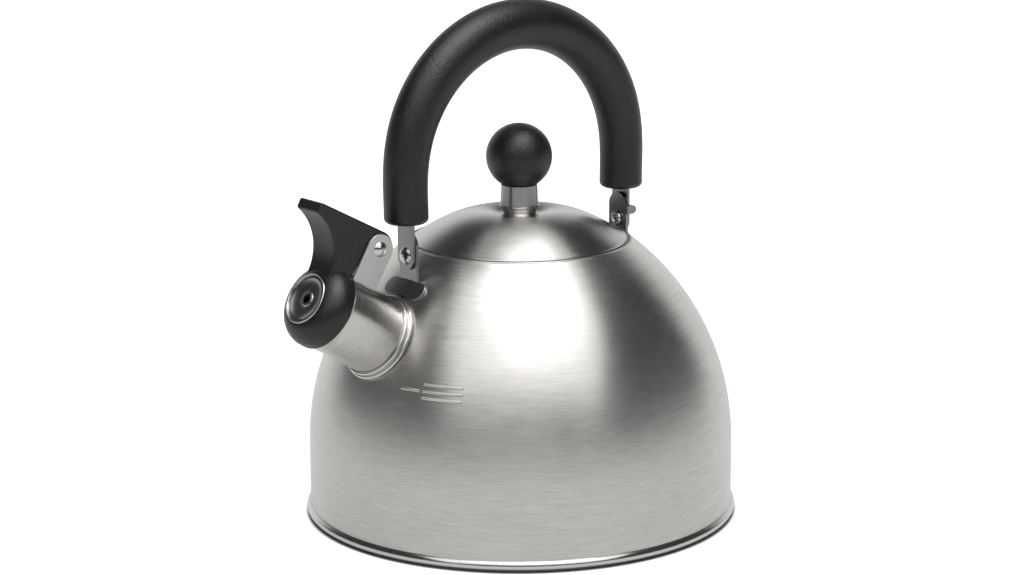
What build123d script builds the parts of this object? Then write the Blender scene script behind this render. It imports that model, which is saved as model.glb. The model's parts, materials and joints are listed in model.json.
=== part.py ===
"""Stovetop whistling kettle: domed body, sprung whistle cap, folding handle and lift-off lid.

Millimetres, +Z up.  The origin is the centre of the flat base, on the body's axis.  The spout
points towards -X, and the handle's arch stands in the plane y = 0.
"""

from build123d import *
from math import asin, atan2, cos, degrees, radians, sin, sqrt
import os

# ---- driving dimensions ---------------------------------------------------------------------
# body: a straight wall that runs into one large arc
wall = 0.6
body_radius = 88.4
wall_top = 30.5
dome_arc_radius = 106.0
dome_steps = 6

# lid opening: a rounded lip, a ledge that carries the lid, and a collar that guides its skirt
lip_radius = 46.4
lip_height = 115.6
lip_bend = 0.6
lip_crown = 0.2
ledge_depth = 1.5
collar_radius = 43.2
collar_bottom = 107.0

# base plate and the bead rolled round its edge
base_thickness = 0.9
bead_radius = 90.0
bead_section = 2.05
bead_height = 2.6
bead_grip = 0.8

# fill mark: a bar at the fill level and three short ones above each other, raised on the dome
mark_height = 69.5
mark_section = 0.6
mark_start = 195.8
mark_line = 6.0
mark_gap = 1.2
mark_block = 12.0
mark_pitch = 2.5

# spout
spout_angle = 31.3
mouth_x = -98.7
mouth_z = 101.0
spout_radius = 16.2
spout_wall = 0.7
spout_length = 34.0
mouth_bead = 0.4
collar_seat = 31.3
collar_sleeve = 1.0
collar_outer_bead = 0.85
collar_inner_bead = 0.7
collar_bead_out = 0.2

# whistle lever bracket, in stations back along the spout from its mouth
ear_width = 12.4
ear_thickness = 1.0
ear_inner = 7.8
ear_foot = 14.5
ear_centre = 6.5
saddle_thickness = 1.0
saddle_front = 0.9
pivot_height = 30.0
pin_radius = 2.0
pin_head_radius = 3.1
pin_head_height = 1.5
running_clearance = 0.05

# whistle cap and thumb lever
cap_gap = 0.35
cap_radius = 17.2
cap_face = 10.5
lever_width = 15.0
hub_radius = 7.2
pocket_radius = 5.2
pocket_width = 7.8
tip_round = 1.0
lever_round = 0.7

# whistle, inside the cap
cup_radius = 10.3
cup_wall = 0.5
cup_bead = 0.4
cup_rear = 1.0
disc_thickness = 0.4
disc_rim = 1.1
dish_depth = 0.9
boss_radius = 3.2
boss_rise = 0.6
whistle_hole = 1.9
rear_disc_station = 4.6

# lever spring
wire_radius = 0.45
coil_radius = 3.3
coil_pitch = 1.05
coil_height = 5.25
upper_leg = 6.0
leg_clearance = 0.35

# handle
handle_offset = -1.5
handle_half_span = 56.8
arch_height = 147.8
grip_bottom = 130.0
grip_end_radius = 9.1
grip_top_radius = 10.3
grip_end_round = 2.2
grip_sections = 8
band_width = 10.0
band_thickness = 1.2
band_tail = 0.8
pivot_z = 116.4
rivet_radius = 2.0
rivet_head_radius = 3.7
rivet_head_height = 1.7
clinch_radius = 2.3
clinch_section = 0.7
rivet_bore = 1.3

# handle lugs
lug_width = 11.0
lug_thickness = 1.2
front_lug_rise = 9.8
rear_lug_rise = 11.2
lug_gap = 0.1
foot_length = 24.5
foot_thickness = 1.0
foot_round = 0.3
strip_round = 0.2
foot_inner = 55.2
foot_outer = 60.7
stop_reach = 3.7
stop_height = 3.5
stop_rise = 4.3
stop_gap = 0.3

# lid
lid_radius = 44.6
lid_rim_height = 116.1
lid_rim_round = 0.45
lid_rest = 0.15
lid_wall = 0.6
skirt_radius = 42.6
skirt_wall = 0.6
skirt_bottom = 108.0
neck_waist = 7.0
neck_radius = 7.4
neck_top = 129.0
ferrule_wall = 0.6
ferrule_bead = 0.6
ferrule_top = 138.2
ferrule_top_radius = 7.5
ferrule_bottom_radius = 7.95
knob_radius = 13.65
knob_height = 150.0
spigot_radius = 6.8
insert_radius = 3.2
insert_length = 14.0
insert_recess = 2.0
thread_spare = 2.0
screw_radius = 2.0
screw_head_radius = 3.8
screw_head_height = 2.4
washer_radius = 5.5
washer_thickness = 0.8

os.makedirs("parts", exist_ok=True)

# ---- frames and envelopes that several parts share -------------------------------------------
spout_out = Vector(-cos(radians(spout_angle)), 0, sin(radians(spout_angle)))
spout_up = Vector(sin(radians(spout_angle)), 0, cos(radians(spout_angle)))
mouth = Vector(mouth_x, 0, mouth_z)
spout_line = Axis(mouth, spout_out)
# looking into the mouth: local X is spout_up, local Y is +Y, local Z runs out of the spout
spout_plane = Plane(origin=mouth, x_dir=spout_up, z_dir=spout_out)
# side view of the spout: local X is the height over its axis, local Y the station along it
spout_side = Plane(origin=mouth, x_dir=spout_up, z_dir=(0, -1, 0))
pivot = mouth + spout_up * pivot_height - spout_out * ear_centre
pivot_line = Axis(pivot, (0, 1, 0))
fold_line = Axis((0, 0, pivot_z), (1, 0, 0))

# the dome's arc is centred behind the axis, where it meets the wall without a step
dome_arc_centre = body_radius - dome_arc_radius
shell_bottom = bead_height - bead_grip
ledge_height = lip_height - ledge_depth


def dome_z(radius, extra=0.0):
    """Height of the dome at a radius, when its outside is grown by extra."""
    reach = dome_arc_radius + extra
    return wall_top + sqrt(reach**2 - (radius - dome_arc_centre) ** 2)


def dome_r(height, extra=0.0):
    """Radius of the dome at a height, when its outside is grown by extra."""
    reach = dome_arc_radius + extra
    return dome_arc_centre + sqrt(reach**2 - (height - wall_top) ** 2)


def dome_points(radius, extra=0.0):
    """Points along the dome's arc, from the wall up to a radius."""
    reach = dome_arc_radius + extra
    end = atan2(dome_z(radius, extra) - wall_top, radius - dome_arc_centre)
    turns = [end * step / dome_steps for step in range(dome_steps + 1)]
    return [(dome_arc_centre + reach * cos(t), wall_top + reach * sin(t)) for t in turns]


def dome_solid(extra):
    """Solid bounded by the dome's outside grown by extra, for trimming what sits on it."""
    with BuildPart() as envelope:
        with BuildSketch(Plane.XZ):
            with BuildLine():
                over = Spline(*dome_points(lip_radius, extra))
                Polyline(over @ 1, (0, (over @ 1).Y), (0, 0), ((over @ 0).X, 0), over @ 0)
            make_face()
        revolve(axis=Axis.Z)
    return envelope.part


def side_plane(angle):
    """Radial section plane at an angle about the body's axis: local X is the radius."""
    turn = radians(angle)
    return Plane(origin=(0, 0, 0), x_dir=(cos(turn), sin(turn), 0), z_dir=(sin(turn), -cos(turn), 0))


def cap_middle(radius, height):
    """Point halfway along the arc of a low dome of this radius and height, from its edge up."""
    ball = (radius**2 + height**2) / (2 * height)
    half = asin(radius / ball) / 2
    return (ball * sin(half), height - ball * (1 - cos(half)))


dome = dome_solid(0)
foot_envelope = dome_solid(foot_thickness)

# ---- body shell ------------------------------------------------------------------------------
with BuildPart() as body_shell:
    with BuildSketch(Plane.XZ):
        with BuildLine():
            over = Spline(*dome_points(lip_radius))
            lip_top = (lip_radius - lip_bend, lip_height)
            lip_middle = ((over @ 1).X - lip_crown, lip_height - lip_crown / 2)
            ThreePointArc(over @ 1, lip_middle, lip_top)
            lip = Polyline(
                lip_top,
                (lip_radius - lip_bend, ledge_height),
                (collar_radius, ledge_height),
                (collar_radius, collar_bottom),
                (collar_radius + wall, collar_bottom),
                (collar_radius + wall, ledge_height - wall),
                (dome_r(ledge_height - wall, -wall), ledge_height - wall),
            )
            under = Spline(*reversed(dome_points((lip @ 1).X, -wall)))
            Polyline(
                under @ 1,
                (body_radius - wall, shell_bottom),
                (body_radius, shell_bottom),
                over @ 0,
            )
        make_face()
    revolve(axis=Axis.Z)
    # spout hole
    with BuildSketch(spout_plane.offset(-collar_seat / 2)):
        Circle(spout_radius)
    extrude(amount=-spout_length, mode=Mode.SUBTRACT)
    # fill mark: each bar is a short length of ring, half sunk in the dome
    block_start = mark_start + mark_line + mark_gap
    for start, arc, rise in (
        (mark_start, mark_line, 0),
        (block_start, mark_block, -mark_pitch),
        (block_start, mark_block, 0),
        (block_start, mark_block, mark_pitch),
    ):
        with BuildSketch(side_plane(start)):
            with Locations((dome_r(mark_height + rise), mark_height + rise)):
                Circle(mark_section)
        revolve(axis=Axis.Z, revolution_arc=arc)
body_shell.part.label = "body_shell"

# ---- base pan --------------------------------------------------------------------------------
bead_centre = bead_radius - bead_section
shell_inside = body_radius - wall

with BuildPart() as base_pan:
    with BuildSketch(Plane.XZ):
        Rectangle(shell_inside, base_thickness, align=(Align.MIN, Align.MIN))
        with Locations((shell_inside, 0)):
            Rectangle(bead_section, bead_height, align=(Align.MAX, Align.MIN))
        with Locations((bead_centre, bead_height)):
            Circle(bead_section)
        # seat for the shell's lower edge
        with Locations((shell_inside, shell_bottom)):
            Rectangle(wall, 2 * bead_section, align=(Align.MIN, Align.MIN), mode=Mode.SUBTRACT)
    revolve(axis=Axis.Z)
base_pan.part.label = "base_pan"

# ---- spout tube ------------------------------------------------------------------------------
with BuildPart() as spout_tube:
    with BuildSketch(spout_side):
        with Locations((spout_radius - spout_wall, 0)):
            Rectangle(spout_wall, spout_length, align=(Align.MIN, Align.MAX))
        with Locations((spout_radius, -mouth_bead)):
            Circle(mouth_bead)
    revolve(axis=spout_line)
spout_tube.part.label = "spout_tube"

# ---- spout collar: two beads on a short sleeve, seated on the dome ---------------------------
outer_bead = (spout_radius + collar_sleeve + collar_bead_out, -collar_seat + collar_inner_bead)
inner_bead = (spout_radius + collar_sleeve / 2, -collar_seat + collar_sleeve + 2 * collar_outer_bead)

with BuildPart() as spout_collar:
    with BuildSketch(spout_side):
        with Locations((spout_radius, inner_bead[1])):
            Rectangle(collar_sleeve, inner_bead[1] + spout_length, align=(Align.MIN, Align.MAX))
        with Locations(outer_bead):
            Circle(collar_outer_bead)
        with Locations(inner_bead):
            Circle(collar_inner_bead)
        Rectangle(spout_radius, 2 * spout_length, align=(Align.MIN, Align.CENTER), mode=Mode.SUBTRACT)
    revolve(axis=spout_line)
    add(dome, mode=Mode.SUBTRACT)
spout_collar.part.label = "spout_collar"

# ---- spout bracket: a saddle bent to the tube, with two upright ears -------------------------
saddle_back = ear_centre + ear_width / 2
ear_outer = ear_inner + ear_thickness

with BuildPart() as spout_bracket:
    with BuildSketch(spout_plane.offset(-saddle_back)):
        Circle(spout_radius + saddle_thickness)
        Circle(spout_radius, mode=Mode.SUBTRACT)
        with Locations((spout_radius, 0)):
            Rectangle(spout_radius, 2 * ear_inner, mode=Mode.INTERSECT)
    extrude(amount=saddle_back - saddle_front)
    for face_y in (-ear_inner, ear_outer):
        with BuildSketch(spout_side.offset(-face_y)):
            with Locations((pivot_height, -ear_centre)):
                Circle(ear_width / 2)
            with Locations((ear_foot, -ear_centre)):
                Rectangle(pivot_height - ear_foot, ear_width, align=(Align.MIN, Align.CENTER))
            with Locations((pivot_height, -ear_centre)):
                Circle(pin_radius, mode=Mode.SUBTRACT)
        extrude(amount=ear_thickness)
    ear_faces = spout_bracket.faces().sort_by(Axis.Y)
    fillet(ear_faces[0].edges() + ear_faces[-1].edges(), strip_round)
spout_bracket.part.label = "spout_bracket"

# ---- lever pin: a rivet with two low domed heads ---------------------------------------------
crown_out, crown_up = cap_middle(pin_head_radius, pin_head_height)

with BuildPart() as lever_pin:
    with BuildSketch(Plane(origin=pivot, x_dir=(1, 0, 0), z_dir=(0, 0, 1))):
        with BuildLine():
            stem = Polyline((0, 0), (pin_radius, 0), (pin_radius, ear_outer), (pin_head_radius, ear_outer))
            crown = ThreePointArc(
                stem @ 1, (crown_out, ear_outer + crown_up), (0, ear_outer + pin_head_height)
            )
            Line(crown @ 1, stem @ 0)
        make_face()
    revolve(axis=pivot_line)
    mirror(about=Plane.XZ)
lever_pin.part.label = "lever_pin"

# ---- whistle lever: thumb lever and cap housing in one moulding ------------------------------
tip_top = (35.3, 27.9)
tip_bottom = (31.0, 27.7)
front_middle = (22.6, 14.0)
front_bottom = (10.8, 10.1)
cap_land = 3.5
cap_draft = 0.1
cap_shoulder = (14.9, 8.2)
cap_face_radius = 11.4
lever_heel = 19.2

with BuildPart() as whistle_lever:
    # lever, in side view
    with BuildSketch(spout_side.offset(lever_width / 2)):
        with BuildLine():
            front = ThreePointArc(front_bottom, front_middle, tip_bottom)
            tip = Line(front @ 1, tip_top)
            top = Line(tip @ 1, (pivot_height + hub_radius, -ear_centre))
            heel = Line(top @ 1, (pivot_height - hub_radius, -ear_centre))
            underside = Line(heel @ 1, (lever_heel, cap_gap))
            Polyline(underside @ 1, (front_bottom[0], cap_gap), front_bottom)
        make_face()
        with Locations((pivot_height, -ear_centre)):
            Circle(hub_radius)
    extrude(amount=-lever_width)
    tip_edges = whistle_lever.edges().filter_by(Axis.Y).sort_by(spout_line)[-2:]
    fillet(tip_edges, tip_round)
    outlines = whistle_lever.faces().filter_by(Axis.Y).edges()
    fillet([edge for edge in outlines if (edge.center() - mouth).dot(spout_up) > lever_heel], lever_round)
    # cap housing, turned about the spout's axis
    with BuildSketch(spout_side):
        with BuildLine():
            rear = Line((0, cap_gap), (cap_radius, cap_gap))
            land = Line(rear @ 1, (cap_radius - cap_draft, cap_land))
            shoulder = ThreePointArc(land @ 1, cap_shoulder, (cap_face_radius, cap_face))
            Polyline(shoulder @ 1, (0, cap_face), (0, cap_gap))
        make_face()
    revolve(axis=spout_line)
    # bore for the whistle
    with BuildSketch(spout_plane):
        Circle(cup_radius)
    extrude(amount=2 * cap_face, mode=Mode.SUBTRACT)
    # spring pocket round the pin, open below
    with BuildSketch(spout_side.offset(pocket_width / 2)):
        with Locations((pivot_height, -ear_centre)):
            Circle(pocket_radius)
        with Locations((pivot_height, -ear_centre)):
            Rectangle(hub_radius * 2, 2 * pocket_radius, align=(Align.MAX, Align.CENTER))
    extrude(amount=-pocket_width, mode=Mode.SUBTRACT)
    # pin hole, and the hole that takes the spring's upper leg
    with BuildSketch(spout_side.offset(lever_width)):
        with Locations((pivot_height, -ear_centre)):
            Circle(pin_radius + running_clearance)
    extrude(amount=-2 * lever_width, mode=Mode.SUBTRACT)
    with BuildSketch(Plane(origin=pivot, x_dir=(0, 1, 0), z_dir=spout_up)):
        with Locations((coil_height / 2, coil_radius)):
            Circle(wire_radius + leg_clearance)
    extrude(amount=upper_leg + leg_clearance, mode=Mode.SUBTRACT)
whistle_lever.part.label = "whistle_lever"

# ---- whistle cup: ring with a rolled front bead ----------------------------------------------
with BuildPart() as whistle_cup:
    with BuildSketch(spout_side):
        with Locations((cup_radius - cup_wall, cup_rear)):
            Rectangle(cup_wall, cap_face - cup_rear + cup_bead, align=(Align.MIN, Align.MIN))
        with Locations((cup_radius, cap_face + cup_bead)):
            Circle(cup_bead)
    revolve(axis=spout_line)
whistle_cup.part.label = "whistle_cup"

# ---- whistle discs: the rear one is a shallow cup that carries the front one -----------------
disc_radius = cup_radius - cup_wall
front_station = cap_face - disc_thickness

with BuildPart() as whistle_rear_disc:
    with BuildSketch(spout_side):
        with Locations((whistle_hole, rear_disc_station)):
            Rectangle(disc_radius - whistle_hole, disc_thickness, align=(Align.MIN, Align.MIN))
        with Locations((disc_radius, rear_disc_station)):
            Rectangle(disc_thickness, front_station - rear_disc_station, align=(Align.MAX, Align.MIN))
    revolve(axis=spout_line)
whistle_rear_disc.part.label = "whistle_rear_disc"


def disc_line(station):
    """Section of the front disc: a flat rim, a dished band and a raised boss, out to the hole."""
    low = station - dish_depth
    dish_edge = disc_radius - disc_rim
    dish_middle = (dish_edge + boss_radius) / 2
    with BuildLine() as section:
        Line((disc_radius, station), (dish_edge, station))
        ThreePointArc((dish_edge, station), (dish_middle, low), (boss_radius, low + boss_rise / 3))
        boss_middle = ((boss_radius + whistle_hole) / 2, low + boss_rise)
        ThreePointArc((boss_radius, low + boss_rise / 3), boss_middle, (whistle_hole, low + boss_rise))
    return section.line


with BuildPart() as whistle_front_disc:
    with BuildSketch(spout_side):
        with BuildLine():
            add(disc_line(front_station))
            add(disc_line(cap_face))
            Line((disc_radius, front_station), (disc_radius, cap_face))
            hole_edge = (whistle_hole, front_station - dish_depth + boss_rise)
            Line(hole_edge, (whistle_hole, cap_face - dish_depth + boss_rise))
        make_face()
    revolve(axis=spout_line)
whistle_front_disc.part.label = "whistle_front_disc"

# ---- lever spring: a coil round the pin, with a leg on the saddle and one in the lever -------
coil_start = pivot - Vector(0, coil_height / 2, 0)
lower_leg = pivot_height - spout_radius - saddle_thickness

with BuildPart() as lever_spring:
    with BuildLine():
        turns = Helix(
            coil_pitch,
            coil_height,
            coil_radius,
            center=coil_start,
            direction=(0, 1, 0),
            mode=Mode.PRIVATE,
        )
        # both ends of the coil lie on its mouth side
        coil = turns.rotate(pivot_line, spout_angle - 90)
        add(coil)
    with BuildSketch(Plane(origin=coil @ 0, z_dir=coil % 0)):
        Circle(wire_radius)
    sweep(path=coil, is_frenet=True)
    with BuildSketch(Plane(origin=coil @ 0, z_dir=coil % 0)):
        Circle(wire_radius)
    extrude(amount=-lower_leg)
    with BuildSketch(Plane(origin=coil @ 1, z_dir=coil % 1)):
        Circle(wire_radius)
    extrude(amount=upper_leg)
lever_spring.part.label = "lever_spring"

# ---- handle band: one strip through the grip, bare and round at both ends --------------------
band_foot = pivot_z - band_tail - band_width / 2


def arch_face(reach):
    """Face under an arch of half width reach, down to the band's ends, in side view."""
    with BuildSketch() as profile:
        with BuildLine():
            rise = Line((handle_offset - reach, band_foot), (handle_offset - reach, arch_height))
            over = ThreePointArc(
                rise @ 1,
                (handle_offset, arch_height + reach),
                (handle_offset + reach, arch_height),
            )
            Polyline(over @ 1, (handle_offset + reach, band_foot), rise @ 0)
        make_face()
    return profile.sketch


with BuildPart() as handle_band:
    with BuildSketch(Plane.XZ):
        add(arch_face(handle_half_span + band_thickness / 2))
        add(arch_face(handle_half_span - band_thickness / 2), mode=Mode.SUBTRACT)
    extrude(amount=band_width / 2, both=True)
    # round ends
    with BuildSketch(Plane.YZ):
        with Locations((0, pivot_z - band_tail)):
            Circle(band_width / 2)
            Rectangle(band_width, 2 * arch_height, align=(Align.CENTER, Align.MIN))
    extrude(amount=2 * handle_half_span, both=True, mode=Mode.INTERSECT)
    with BuildSketch(Plane.YZ):
        with Locations((0, pivot_z)):
            Circle(rivet_radius + running_clearance)
    extrude(amount=2 * handle_half_span, both=True, mode=Mode.SUBTRACT)
handle_band.part.label = "handle_band"

# ---- handle grip: a round moulding that swells towards the top of the arch -------------------
with BuildPart() as handle_grip:
    with BuildSketch(Plane.XY.offset(grip_bottom)):
        with Locations((handle_offset - handle_half_span, 0)):
            Circle(grip_end_radius)
    for step in range(grip_sections + 1):
        turn = radians(180 * step / grip_sections)
        spot = (
            handle_offset - handle_half_span * cos(turn),
            0,
            arch_height + handle_half_span * sin(turn),
        )
        swell = (grip_top_radius - grip_end_radius) * sin(turn)
        with BuildSketch(Plane(origin=spot, x_dir=(0, 1, 0), z_dir=(sin(turn), 0, cos(turn)))):
            Circle(grip_end_radius + swell)
    with BuildSketch(Plane(origin=(0, 0, grip_bottom), x_dir=(0, 1, 0), z_dir=(0, 0, -1))):
        with Locations((0, handle_offset + handle_half_span)):
            Circle(grip_end_radius)
    loft()
    fillet(handle_grip.edges().group_by(Axis.Z)[0], grip_end_round)
    add(handle_band.part, mode=Mode.SUBTRACT)
handle_grip.part.label = "handle_grip"

# ---- handle lugs -----------------------------------------------------------------------------
lug_outer = handle_half_span - band_thickness / 2 - lug_gap
lug_inner = lug_outer - lug_thickness


def make_lug(side, lug_rise):
    """Upright tab with a folded foot on the dome, at the side -1 (spout) or 1 (rear)."""
    foot_x = handle_offset + side * (foot_inner + foot_outer) / 2
    foot_z = dome_z(abs(foot_x))
    run = abs(foot_x) - dome_arc_centre
    rise = foot_z - wall_top
    slope = degrees(atan2(run, rise))
    foot_width = (foot_outer - foot_inner) / cos(radians(slope))
    with BuildPart() as lug:
        with BuildSketch(Plane(origin=(foot_x, 0, foot_z), x_dir=(0, 1, 0), z_dir=(side * run, 0, rise))):
            SlotOverall(foot_length, foot_width)
        extrude(amount=foot_width / 2, both=True)
        add(foot_envelope, mode=Mode.INTERSECT)
        fillet(lug.faces().sort_by(Axis.Z)[-1].edges(), foot_round)
        with BuildSketch(Plane.YZ.offset(handle_offset + side * lug_inner)):
            with Locations((0, pivot_z + lug_rise - lug_width / 2)):
                Circle(lug_width / 2)
                Rectangle(lug_width, pivot_z - foot_z + 2 * lug_rise, align=(Align.CENTER, Align.MAX))
        extrude(amount=side * lug_thickness)
        add(dome, mode=Mode.SUBTRACT)
        with BuildSketch(Plane.YZ):
            with Locations((0, pivot_z)):
                Circle(rivet_radius)
        extrude(amount=2 * side * handle_half_span, mode=Mode.SUBTRACT)
    return lug.part


with BuildPart() as front_lug:
    add(make_lug(-1, front_lug_rise))
front_lug.part.label = "front_lug"

# the rear lug has a tab folded outwards beside the band, so the arch folds one way only
stop_inner = band_width / 2 + stop_gap
stop_run = lug_thickness + stop_reach - stop_height / 2

with BuildPart() as rear_lug:
    add(make_lug(1, rear_lug_rise))
    with BuildSketch(Plane.XZ.offset(stop_inner)):
        with Locations((handle_offset + lug_inner, pivot_z + stop_rise)):
            Rectangle(stop_run, stop_height, align=(Align.MIN, Align.CENTER))
        with Locations((handle_offset + lug_inner + stop_run, pivot_z + stop_rise)):
            Circle(stop_height / 2)
    extrude(amount=lug_thickness)
rear_lug.part.label = "rear_lug"

# ---- handle rivets: domed outside, clinched over the lug inside ------------------------------
head_seat = handle_half_span + band_thickness / 2 + running_clearance

crown_out, crown_up = cap_middle(rivet_head_radius, rivet_head_height)

with BuildPart() as handle_rivets:
    for side in (-1, 1):
        rivet_side = Plane(origin=(handle_offset, 0, pivot_z), x_dir=(side, 0, 0), z_dir=(0, -side, 0))
        with BuildSketch(rivet_side):
            with BuildLine():
                head = Polyline(
                    (lug_outer, 0),
                    (lug_outer, rivet_bore),
                    (lug_inner - clinch_section, rivet_bore),
                    (lug_inner - clinch_section, rivet_radius),
                    (head_seat, rivet_radius),
                    (head_seat, rivet_head_radius),
                )
                crown = ThreePointArc(
                    head @ 1, (head_seat + crown_up, crown_out), (head_seat + rivet_head_height, 0)
                )
                Line(crown @ 1, head @ 0)
            make_face()
            with Locations((lug_inner - clinch_section, clinch_radius)):
                Circle(clinch_section)
        revolve(axis=fold_line)
handle_rivets.part.label = "handle_rivets"

# ---- lid shell: a low dome with a drawn-up neck ----------------------------------------------
rim_foot = ledge_height + lid_rest
lid_curve = ((35.0, 121.6), (25.0, 125.8), (17.0, 127.0))
neck_foot = (10.2, 125.7)
neck_root = (8.0, 125.85)
waist_height = 126.8
neck_inner = neck_waist - lid_wall
inner_top = lid_rim_height - lid_wall

with BuildPart() as lid_shell:
    with BuildSketch(Plane.XZ):
        with BuildLine():
            rim = Line((lid_radius, rim_foot), (lid_radius, lid_rim_height - lid_rim_round))
            corner_middle = (lid_radius - lid_rim_round / 3, lid_rim_height - lid_rim_round / 3)
            corner = ThreePointArc(rim @ 1, corner_middle, (lid_radius - lid_rim_round, lid_rim_height))
            over = Spline(corner @ 1, *lid_curve, neck_foot)
            root = ThreePointArc(over @ 1, neck_root, (neck_waist, waist_height))
            Polyline(root @ 1, (neck_radius, neck_top), (0, neck_top), (0, rim_foot), rim @ 0)
        make_face()
        with BuildLine():
            inner_rim = Line((lid_radius - lid_wall, rim_foot), (lid_radius - lid_wall, inner_top))
            under = Spline(
                inner_rim @ 1,
                *[(r, z - lid_wall) for r, z in lid_curve],
                (neck_foot[0] - lid_wall, neck_foot[1] - lid_wall),
            )
            Polyline(
                under @ 1,
                (neck_inner, neck_foot[1] - lid_wall),
                (neck_inner, neck_top - lid_wall),
                (0, neck_top - lid_wall),
                (0, rim_foot),
                inner_rim @ 0,
            )
        make_face(mode=Mode.SUBTRACT)
        with Locations((0, neck_top)):
            Rectangle(screw_radius, 2 * lid_wall, align=(Align.MIN, Align.CENTER), mode=Mode.SUBTRACT)
    revolve(axis=Axis.Z)
lid_shell.part.label = "lid_shell"

# ---- lid skirt: guides the lid in the collar, and hangs from a flange inside the lid's rim ---
with BuildPart() as lid_skirt:
    with BuildSketch(Plane.XZ):
        with Locations((skirt_radius, rim_foot + skirt_wall)):
            Rectangle(skirt_wall, rim_foot + skirt_wall - skirt_bottom, align=(Align.MAX, Align.MAX))
        with Locations((lid_radius - lid_wall, rim_foot)):
            Rectangle(lid_radius - lid_wall - skirt_radius, skirt_wall, align=(Align.MAX, Align.MIN))
    revolve(axis=Axis.Z)
lid_skirt.part.label = "lid_skirt"

# ---- lid ferrule: a tapered cup with a bead round its foot -----------------------------------
ferrule_bottom = neck_top

with BuildPart() as lid_ferrule:
    with BuildSketch(Plane.XZ):
        with BuildLine():
            Polyline(
                (screw_radius, ferrule_bottom),
                (ferrule_bottom_radius, ferrule_bottom),
                (ferrule_top_radius, ferrule_top),
                (ferrule_top_radius - ferrule_wall, ferrule_top),
                (spigot_radius, ferrule_bottom + ferrule_wall),
                (screw_radius, ferrule_bottom + ferrule_wall),
                close=True,
            )
        make_face()
        with Locations((ferrule_bottom_radius - ferrule_bead / 2, ferrule_bottom + ferrule_bead / 2)):
            Circle(ferrule_bead)
        with Locations((0, ferrule_bottom)):
            Rectangle(neck_radius, ferrule_bead, align=(Align.MIN, Align.MAX), mode=Mode.SUBTRACT)
    revolve(axis=Axis.Z)
lid_ferrule.part.label = "lid_ferrule"

# ---- knob, its threaded insert, and the screw from below -------------------------------------
knob_foot = ferrule_bottom + ferrule_wall
insert_bottom = knob_foot + insert_recess
screw_top = insert_bottom + insert_length - thread_spare
washer_top = neck_top - lid_wall
head_top = washer_top - washer_thickness

with BuildPart() as lid_knob:
    with Locations((0, 0, knob_height)):
        Sphere(knob_radius)
    with BuildSketch(Plane.XY.offset(knob_foot)):
        Circle(spigot_radius)
    extrude(amount=knob_height - knob_foot)
    with BuildSketch(Plane.XY.offset(insert_bottom)):
        Circle(insert_radius)
    extrude(amount=insert_length, mode=Mode.SUBTRACT)
    with BuildSketch(Plane.XY.offset(knob_foot)):
        Circle(screw_radius)
    extrude(amount=insert_bottom - knob_foot, mode=Mode.SUBTRACT)
lid_knob.part.label = "lid_knob"

with BuildPart() as knob_insert:
    with BuildSketch(Plane.XY.offset(insert_bottom)):
        Circle(insert_radius)
        Circle(screw_radius, mode=Mode.SUBTRACT)
    extrude(amount=insert_length)
knob_insert.part.label = "knob_insert"

with BuildPart() as knob_screw:
    with BuildSketch(Plane.XY.offset(head_top)):
        Circle(screw_head_radius)
    extrude(amount=-screw_head_height)
    fillet(knob_screw.edges().group_by(Axis.Z)[0], screw_head_height / 3)
    with BuildSketch(Plane.XY.offset(head_top)):
        Circle(screw_radius)
    extrude(amount=screw_top - head_top)
    # cross recess
    with BuildSketch(Plane.XY.offset(head_top - screw_head_height)):
        Rectangle(screw_head_radius, screw_head_height / 3)
        Rectangle(screw_head_height / 3, screw_head_radius)
    extrude(amount=screw_head_height / 2, mode=Mode.SUBTRACT)
knob_screw.part.label = "knob_screw"

with BuildPart() as screw_washer:
    with BuildSketch(Plane.XY.offset(head_top)):
        Circle(washer_radius)
        Circle(screw_radius, mode=Mode.SUBTRACT)
    extrude(amount=washer_thickness)
screw_washer.part.label = "screw_washer"

# ---- export ----------------------------------------------------------------------------------
export_step(body_shell.part, "parts/body_shell.step")
export_step(base_pan.part, "parts/base_pan.step")
export_step(spout_tube.part, "parts/spout_tube.step")
export_step(spout_collar.part, "parts/spout_collar.step")
export_step(spout_bracket.part, "parts/spout_bracket.step")
export_step(lever_pin.part, "parts/lever_pin.step")
export_step(front_lug.part, "parts/front_lug.step")
export_step(rear_lug.part, "parts/rear_lug.step")
export_step(handle_rivets.part, "parts/handle_rivets.step")
export_step(whistle_lever.part, "parts/whistle_lever.step")
export_step(whistle_cup.part, "parts/whistle_cup.step")
export_step(whistle_front_disc.part, "parts/whistle_front_disc.step")
export_step(whistle_rear_disc.part, "parts/whistle_rear_disc.step")
export_step(lever_spring.part, "parts/lever_spring.step")
export_step(handle_grip.part, "parts/handle_grip.step")
export_step(handle_band.part, "parts/handle_band.step")
export_step(lid_shell.part, "parts/lid_shell.step")
export_step(lid_skirt.part, "parts/lid_skirt.step")
export_step(lid_ferrule.part, "parts/lid_ferrule.step")
export_step(lid_knob.part, "parts/lid_knob.step")
export_step(knob_insert.part, "parts/knob_insert.step")
export_step(knob_screw.part, "parts/knob_screw.step")
export_step(screw_washer.part, "parts/screw_washer.step")
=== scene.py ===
import json
import math

import bpy
from mathutils import Matrix, Vector


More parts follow.
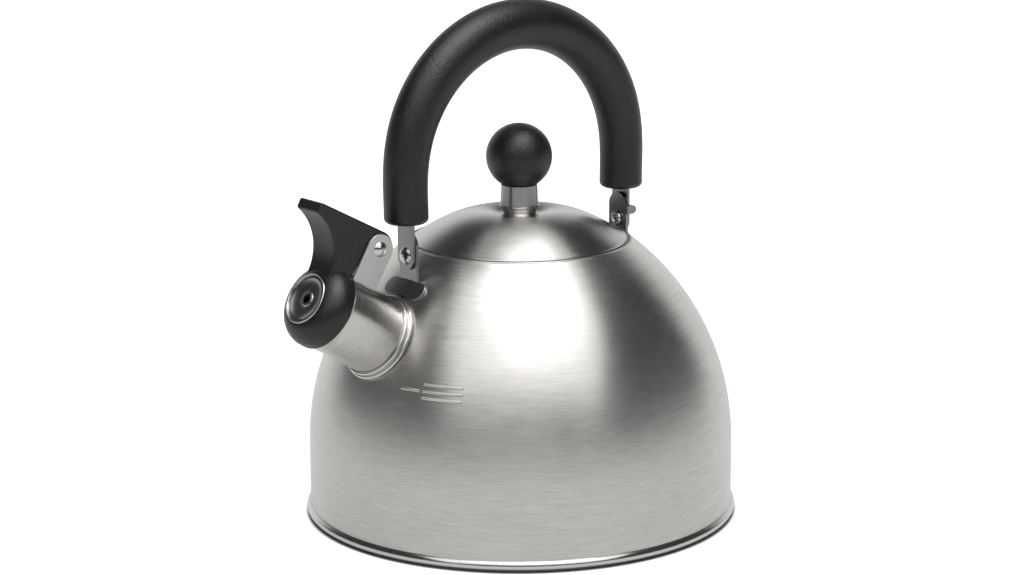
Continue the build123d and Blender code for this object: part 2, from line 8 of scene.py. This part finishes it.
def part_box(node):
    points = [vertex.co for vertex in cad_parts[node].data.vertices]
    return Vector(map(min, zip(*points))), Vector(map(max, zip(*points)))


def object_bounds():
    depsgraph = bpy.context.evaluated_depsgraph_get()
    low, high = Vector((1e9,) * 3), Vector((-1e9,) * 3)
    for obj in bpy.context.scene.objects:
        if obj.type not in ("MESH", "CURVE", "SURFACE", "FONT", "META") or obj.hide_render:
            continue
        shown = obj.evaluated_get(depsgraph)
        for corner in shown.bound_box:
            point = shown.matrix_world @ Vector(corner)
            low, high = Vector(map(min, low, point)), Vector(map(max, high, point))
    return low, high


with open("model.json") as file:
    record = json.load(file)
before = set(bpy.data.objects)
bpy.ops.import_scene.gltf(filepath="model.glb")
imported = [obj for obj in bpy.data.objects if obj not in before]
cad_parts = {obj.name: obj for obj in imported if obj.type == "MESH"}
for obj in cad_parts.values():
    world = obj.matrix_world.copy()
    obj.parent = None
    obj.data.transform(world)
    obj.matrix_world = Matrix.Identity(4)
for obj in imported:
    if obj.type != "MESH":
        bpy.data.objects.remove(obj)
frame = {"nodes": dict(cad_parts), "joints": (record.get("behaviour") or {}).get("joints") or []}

cad_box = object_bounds()
nodes = frame["nodes"]
X_AXIS = Vector((1, 0, 0))
Y_AXIS = Vector((0, 1, 0))
Z_AXIS = Vector((0, 0, 1))
MM = 0.001

# ---- places taken from the frame ----------------------------------------------------------------
joint = {j["name"]: j for j in frame["joints"]}
cap_low, cap_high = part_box("whistle_cup")
tube_low, tube_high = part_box("spout_tube")
cap_middle = (cap_low + cap_high) / 2
tube_middle = (tube_low + tube_high) / 2
spout_out = (cap_middle - tube_middle).normalized()
whistle_pivot = Vector(joint["whistle_open"]["pos_m"])
fold_point = Vector(joint["handle_fold"]["pos_m"])


# ---- the camera, at the reference view ----------------------------------------------------------
def add_camera():
    """A long lens, a little above the kettle, on its spout side. Returns its level direction."""
    azimuth, distance, height = math.radians(-38.81), 1.20917, 0.38508
    pitch, yaw, roll = math.radians(13.521), math.radians(-0.182), math.radians(-0.327)
    lens, sensor = 105.56, 36.0
    nearest, farthest = 0.05, 50.0
    ahead = Vector((-math.sin(azimuth), math.cos(azimuth), 0))
    right = Vector((math.cos(azimuth), math.sin(azimuth), 0))
    place = Z_AXIS * height - ahead * distance
    ahead, right = (
        ahead * math.cos(yaw) + right * math.sin(yaw),
        right * math.cos(yaw) - ahead * math.sin(yaw),
    )
    look = ahead * math.cos(pitch) - Z_AXIS * math.sin(pitch)
    top = ahead * math.sin(pitch) + Z_AXIS * math.cos(pitch)
    side = right * math.cos(roll) + top * math.sin(roll)
    top = top * math.cos(roll) - right * math.sin(roll)
    data = bpy.data.cameras.new("camera")
    data.lens = lens
    data.sensor_width = sensor
    data.clip_start = nearest
    data.clip_end = farthest
    camera = bpy.data.objects.new("camera", data)
    turn = Matrix((side, top, -look)).transposed().to_4x4()
    camera.matrix_world = Matrix.Translation(place) @ turn
    bpy.context.scene.collection.objects.link(camera)
    bpy.context.scene.camera = camera
    return ahead


# ---- node graphs --------------------------------------------------------------------------------
class Graph:
    """A node tree with short calls for the nodes used here. A value can be a number or a socket."""

    def __init__(self, tree):
        self.tree = tree

    def put(self, socket, value):
        if isinstance(value, bpy.types.NodeSocket):
            self.tree.links.new(value, socket)
        else:
            socket.default_value = value

    def add(self, kind, **settings):
        made = self.tree.nodes.new(kind)
        for name, value in settings.items():
            setattr(made, name, value)
        return made

    def math(self, operation, *values):
        made = self.add("ShaderNodeMath", operation=operation)
        for socket, value in zip(made.inputs, values):
            self.put(socket, value)
        return made.outputs[0]

    def vector(self, operation, *values):
        made = self.add("ShaderNodeVectorMath", operation=operation)
        for socket, value in zip(made.inputs, values):
            self.put(socket, value)
        return made.outputs["Value" if operation in ("DOT_PRODUCT", "LENGTH") else "Vector"]

    def scaled(self, vector, factor):
        made = self.add("ShaderNodeVectorMath", operation="SCALE")
        self.put(made.inputs[0], vector)
        self.put(made.inputs["Scale"], factor)
        return made.outputs["Vector"]

    def noise(self, vector, scale, detail, rough):
        made = self.add("ShaderNodeTexNoise")
        self.put(made.inputs["Vector"], vector)
        made.inputs["Scale"].default_value = scale
        made.inputs["Detail"].default_value = detail
        made.inputs["Roughness"].default_value = rough
        return made.outputs["Fac"]

    def span(self, value, low, high, out_low, out_high):
        made = self.add("ShaderNodeMapRange")
        self.put(made.inputs["Value"], value)
        ends = (("From Min", low), ("From Max", high), ("To Min", out_low), ("To Max", out_high))
        for name, number in ends:
            made.inputs[name].default_value = number
        return made.outputs["Result"]

    def mix(self, factor, first, second):
        made = self.add("ShaderNodeMix", data_type="RGBA")
        self.put(made.inputs["Factor"], factor)
        self.put(made.inputs["A"], first)
        self.put(made.inputs["B"], second)
        return made.outputs["Result"]

    def to_world(self, vector):
        made = self.add(
            "ShaderNodeVectorTransform", vector_type="VECTOR", convert_from="OBJECT", convert_to="WORLD"
        )
        self.put(made.inputs["Vector"], vector)
        return made.outputs["Vector"]

    def bump(self, height, strength, distance):
        made = self.add("ShaderNodeBump")
        self.put(made.inputs["Height"], height)
        made.inputs["Strength"].default_value = strength
        made.inputs["Distance"].default_value = distance
        return made.outputs["Normal"]


def new_material(name):
    """A material, its graph, its shader and its object-space position socket."""
    material = bpy.data.materials.new(name)
    material.use_nodes = True
    graph = Graph(material.node_tree)
    shader = material.node_tree.nodes["Principled BSDF"]
    position = graph.add("ShaderNodeTexCoord").outputs["Object"]
    return material, graph, shader, position


def shade(colour, factor):
    """A colour scaled by a factor, with full alpha."""
    return tuple(c * factor for c in colour[:3]) + (1.0,)


# ---- materials ----------------------------------------------------------------------------------
WARM_STEEL = (0.560, 0.548, 0.528)
COOL_STEEL = (0.560, 0.553, 0.542)
DIM_STEEL = (0.330, 0.324, 0.316)
DARK_STEEL = (0.240, 0.236, 0.231)
BRASS = (0.75, 0.58, 0.3)
BLACK = (0.004, 0.004, 0.0044)
WHITE = (1, 1, 1, 1)
# The lid's steel is darker than the body's as painted shade that dims its highlight.
LID_PAINTED_SHADE = 0.87             # the lid's steel against the body's
USUAL = (0.3, 0.7)          # what most of a noise texture's values lie between
CLOUDY = 0.03               # how far the gloss wanders either way, in roughness


def brushed_steel(
    name,
    colour,
    axis=None,
    point=Vector((0, 0, 0)),
    grain=None,
    roughness=0.4,
    anisotropy=0.9,
    fine=2900.0,
    coarse=170.0,
    contrast=0.17,
    jitter=0.015,
    depth=0.5,
):
    """Steel with hairlines round an axis through a point, or along a straight grain.

    fine and coarse are the lines' frequency across and along them, per metre. contrast is how far
    the lines differ in tone, depth how strongly they show as relief, and jitter how far broader
    bands of them lean the surface along the lines.
    """
    hair_share, band_share = 0.6, 0.4
    smudges_per_metre = 28.0
    hair_height = 0.02 * MM
    leaning = (0.25, 0.75)
    material, graph, shader, position = new_material(name)
    if grain is None:
        from_point = graph.vector("SUBTRACT", position, point)
        along = graph.vector("DOT_PRODUCT", from_point, axis)
        outward = graph.vector("SUBTRACT", from_point, graph.scaled(axis, along))
        across = graph.math("SUBTRACT", along, graph.vector("LENGTH", outward))
        lines = graph.vector(
            "ADD",
            graph.scaled(from_point, coarse),
            graph.scaled(axis, graph.math("MULTIPLY", across, fine)),
        )
        round_axis = graph.vector("CROSS_PRODUCT", axis, outward)
        groove = graph.vector("NORMALIZE", graph.to_world(round_axis))
    else:
        along = graph.vector("DOT_PRODUCT", position, grain)
        lines = graph.vector(
            "SUBTRACT",
            graph.scaled(position, fine),
            graph.scaled(grain, graph.math("MULTIPLY", along, fine - coarse)),
        )
        groove = graph.to_world(grain)
    hairs = graph.noise(lines, scale=1.0, detail=3.0, rough=0.7)
    bands = graph.noise(lines, scale=0.4, detail=2.0, rough=0.6)
    smudge = graph.noise(position, scale=smudges_per_metre, detail=3.0, rough=0.55)
    tone = graph.math(
        "ADD", graph.math("MULTIPLY", hairs, hair_share), graph.math("MULTIPLY", bands, band_share)
    )
    tone = graph.span(tone, *USUAL, 0.0, 1.0)
    darkest, palest = shade(colour, 1 - contrast), shade(colour, 1 + contrast)
    graph.put(shader.inputs["Base Color"], graph.mix(tone, darkest, palest))
    wander = graph.math(
        "ADD", graph.span(smudge, *USUAL, -CLOUDY, CLOUDY), graph.span(hairs, *USUAL, -CLOUDY, CLOUDY)
    )
    graph.put(shader.inputs["Roughness"], graph.math("ADD", wander, roughness))
    normal = graph.add("ShaderNodeNewGeometry").outputs["Normal"]
    graph.put(shader.inputs["Tangent"], graph.vector("CROSS_PRODUCT", normal, groove))
    bumped = graph.bump(hairs, depth, hair_height)
    lean = graph.span(bands, *leaning, -jitter, jitter)
    leant = graph.vector("ADD", bumped, graph.scaled(groove, lean))
    graph.put(shader.inputs["Normal"], graph.vector("NORMALIZE", leant))
    shader.inputs["Metallic"].default_value = 1.0
    shader.inputs["Anisotropic"].default_value = anisotropy
    return material


def moulded_black(name, roughness, grain_size, depth):
    """Black plastic with a fine moulded grain, scattered pits and slightly uneven gloss.

    grain_size is in metres, and depth is how strongly the grain shows as relief.
    """
    pit_frequency, pit_edge = 0.45, (0.3, 0.42)
    clouds_per_metre = 60.0
    least_tone, darkest, palest = 0.3, 0.3, 1.6
    grain_gloss = 0.06
    grain_height = 0.12 * MM
    material, graph, shader, position = new_material(name)
    grain = graph.noise(position, scale=1 / grain_size, detail=2.0, rough=0.6)
    pit_noise = graph.noise(position, scale=pit_frequency / grain_size, detail=1.0, rough=0.5)
    pits = graph.span(pit_noise, *pit_edge, 0.0, 1.0)
    cloud = graph.noise(position, scale=clouds_per_metre, detail=3.0, rough=0.6)
    tone = graph.math("MULTIPLY", graph.span(grain, *USUAL, least_tone, 1.0), pits)
    colour = graph.mix(tone, shade(BLACK, darkest), shade(BLACK, palest))
    graph.put(shader.inputs["Base Color"], colour)
    wander = graph.math(
        "ADD",
        graph.span(cloud, *USUAL, -CLOUDY, CLOUDY),
        graph.span(grain, *USUAL, grain_gloss, -grain_gloss),
    )
    graph.put(shader.inputs["Roughness"], graph.math("ADD", wander, roughness))
    relief = graph.bump(graph.math("MULTIPLY", grain, pits), depth, grain_height)
    graph.put(shader.inputs["Normal"], relief)
    shader.inputs["Specular IOR Level"].default_value = 0.5
    return material


def paint(name, material):
    """Gives a CAD node its material in every slot."""
    data = nodes[name].data
    if not data.materials:
        data.materials.append(material)
    for slot in nodes[name].material_slots:
        slot.material = material


def paint_nodes():
    """A material for every CAD node."""
    upright = {"axis": Z_AXIS}
    round_spout = {"axis": spout_out, "point": cap_middle}
    smooth = {"jitter": 0.01, "depth": 0.1, "contrast": 0.03}
    turned = {"roughness": 0.22, "anisotropy": 0.2, "jitter": 0.02, "contrast": 0.04}
    shell = brushed_steel("body_steel", WARM_STEEL, **upright, roughness=0.33, anisotropy=0.6)
    # The lid is a darker copy of the body's steel: painted shade on its highlight.
    lid = brushed_steel(
        "lid_steel", shade(WARM_STEEL, LID_PAINTED_SHADE), **upright, roughness=0.31, anisotropy=0.86
    )
    spout = brushed_steel("spout_steel", WARM_STEEL, **round_spout, roughness=0.24, anisotropy=0.6)
    polished = brushed_steel(
        "polished_steel", COOL_STEEL, **upright, **smooth, roughness=0.2, anisotropy=0.6
    )
    ferrule = brushed_steel(
        "ferrule_steel", DIM_STEEL, **upright, roughness=0.3, anisotropy=0.7,
        jitter=0.02, depth=0.2, contrast=0.05,
    )
    collar = brushed_steel(
        "collar_steel", COOL_STEEL, **round_spout, **smooth, roughness=0.22, anisotropy=0.4
    )
    strip = brushed_steel(
        "strip_steel", DARK_STEEL, grain=Z_AXIS, roughness=0.28, anisotropy=0.2, jitter=0.01, depth=0.15
    )
    bracket = brushed_steel(
        "bracket_steel", COOL_STEEL, grain=spout_out, roughness=0.42, anisotropy=0.3, contrast=0.05
    )
    rivet = brushed_steel("rivet_steel", COOL_STEEL, axis=X_AXIS, point=fold_point, **turned)
    pin = brushed_steel("pin_steel", COOL_STEEL, axis=Y_AXIS, point=whistle_pivot, **turned)
    whistle = brushed_steel(
        "whistle_steel", DIM_STEEL, **round_spout, roughness=0.3, anisotropy=0.4,
        jitter=0.02, depth=0.2, contrast=0.06,
    )
    ring = brushed_steel(
        "whistle_ring_steel", COOL_STEEL, **round_spout, **smooth, roughness=0.2, anisotropy=0.2
    )
    brass = brushed_steel("insert_brass", BRASS, **upright, roughness=0.35, anisotropy=0.3)
    satin_black = moulded_black("satin_black", roughness=0.4, grain_size=0.45 * MM, depth=0.4)
    textured_black = moulded_black("textured_black", roughness=0.4, grain_size=0.55 * MM, depth=1.0)
    for name, material in (
        ("body_shell", shell),
        ("base_pan", polished),
        ("spout_tube", spout),
        ("spout_collar", collar),
        ("spout_bracket", bracket),
        ("lever_pin", pin),
        ("front_lug", strip),
        ("rear_lug", strip),
        ("handle_rivets", rivet),
        ("whistle_lever", satin_black),
        ("whistle_cup", ring),
        ("whistle_front_disc", whistle),
        ("whistle_rear_disc", whistle),
        ("lever_spring", pin),
        ("handle_grip", textured_black),
        ("handle_band", strip),
        ("lid_shell", lid),
        ("lid_skirt", lid),
        ("lid_ferrule", ferrule),
        ("lid_knob", textured_black),
        ("knob_insert", brass),
        ("knob_screw", polished),
        ("screw_washer", polished),
    ):
        paint(name, material)


# ---- the stage ----------------------------------------------------------------------------------
def add_floor():
    """A plain pale floor whose glow holds a painted shadow under the kettle and painted shade that leaves
    it a little dimmer near the kettle than away from it; it is also brighter to the camera.
    """
    half_side = 6.0
    # The painted shadow under the base ends between these distances inside and outside its rim.
    inside_rim, outside_rim = 0.5 * MM, 1.0 * MM
    # The glow is dimmer near the kettle than far from it: painted shade.
    near, far, near_glow, far_glow, seen_glow = 0.1, 0.8, 0.58, 0.72, 0.4
    corners = [(x * half_side, y * half_side, 0) for x, y in ((-1, -1), (1, -1), (1, 1), (-1, 1))]
    mesh = bpy.data.meshes.new("floor")
    mesh.from_pydata(corners, [], [(0, 1, 2, 3)])
    floor = bpy.data.objects.new("floor", mesh)
    bpy.context.scene.collection.objects.link(floor)
    material, graph, shader, position = new_material("floor_white")
    shader.inputs["Base Color"].default_value = (0.25, 0.25, 0.25, 1)
    shader.inputs["Roughness"].default_value = 0.8
    shader.inputs["Specular IOR Level"].default_value = 0.2
    shader.inputs["Emission Color"].default_value = WHITE
    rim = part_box("base_pan")[1].x
    reach = graph.vector("LENGTH", position)
    # Zero under the base: a painted shadow under the kettle's rim.
    outside_painted_shadow = graph.span(reach, rim - inside_rim, rim + outside_rim, 0.0, 1.0)
    # Painted shade: the glow rises from near the kettle to far from it.
    glow = graph.span(reach, near, far, near_glow, far_glow)
    is_seen = graph.add("ShaderNodeLightPath").outputs["Is Camera Ray"]
    glow = graph.math("ADD", glow, graph.math("MULTIPLY", is_seen, seen_glow))
    graph.put(shader.inputs["Emission Strength"], graph.math("MULTIPLY", outside_painted_shadow, glow))
    mesh.materials.append(material)


def add_area(name, place, target, width, depth, radiance):
    """A softbox that shines at a point and isn't seen by the camera itself."""
    data = bpy.data.lights.new(name, "AREA")
    data.shape = "RECTANGLE"
    data.size = width
    data.size_y = depth
    data.energy = radiance * math.pi * width * depth
    light = bpy.data.objects.new(name, data)
    light.location = place
    light.rotation_mode = "QUATERNION"
    light.rotation_quaternion = (target - place).to_track_quat("-Z", "Y")
    light.visible_camera = False
    bpy.context.scene.collection.objects.link(light)


def add_softbox(ahead, middle):
    """One large panel over and before the kettle, tilted half way between front and top.

    It is a little right of the middle. Its extents are multiples of its distance.
    """
    distance, radiance = 1.4, 1.5
    half_width, below, above, sideways = 0.895, 0.37, 3.2, 0.076
    towards = (Z_AXIS - ahead).normalized()
    upwards = (Z_AXIS + ahead).normalized()
    right = ahead.cross(Z_AXIS)
    place = middle + (towards + upwards * (above - below) / 2 + right * sideways) * distance
    width, depth = 2 * half_width * distance, (above + below) * distance
    add_area("softbox", place, place - towards, width, depth, radiance)


def add_overhead(ahead, middle):
    """A smaller and brighter box nearly straight above, a little towards the front and the right."""
    distance, side, radiance = 1.3, 0.88, 4.2
    forward, sideways = 0.26, 0.12
    towards = (Z_AXIS - ahead * forward + ahead.cross(Z_AXIS) * sideways).normalized()
    add_area("overhead", middle + towards * distance, middle, side, side, radiance)


def add_world(ahead):
    """A studio that is white behind the kettle, dim beside and before it, and white to the camera."""
    backdrop_edge, backdrop_top = (0.5, 0.75), (0.35, 0.6)
    backdrop_strength, room_strength = 0.85, 0.05
    world = bpy.data.worlds.new("studio")
    bpy.context.scene.world = world
    world.use_nodes = True
    graph = Graph(world.node_tree)
    background = world.node_tree.nodes["Background"]
    direction = graph.add("ShaderNodeTexCoord").outputs["Generated"]
    behind = graph.vector("DOT_PRODUCT", direction, ahead)
    level = graph.vector("DOT_PRODUCT", direction, Z_AXIS)
    backdrop = graph.math(
        "MULTIPLY",
        graph.span(behind, *backdrop_edge, 0.0, backdrop_strength),
        graph.span(level, *backdrop_top, 1.0, 0.0),
    )
    room = graph.math("ADD", backdrop, room_strength)
    seen = graph.add("ShaderNodeLightPath").outputs["Is Camera Ray"]
    graph.put(background.inputs["Strength"], graph.math("MAXIMUM", room, seen))
    background.inputs["Color"].default_value = WHITE


ahead = add_camera()
bpy.context.scene.view_settings.view_transform = "Standard"
add_floor()
add_world(ahead)
middle = (cad_box[0] + cad_box[1]) / 2
add_softbox(ahead, middle)
add_overhead(ahead, middle)
paint_nodes()
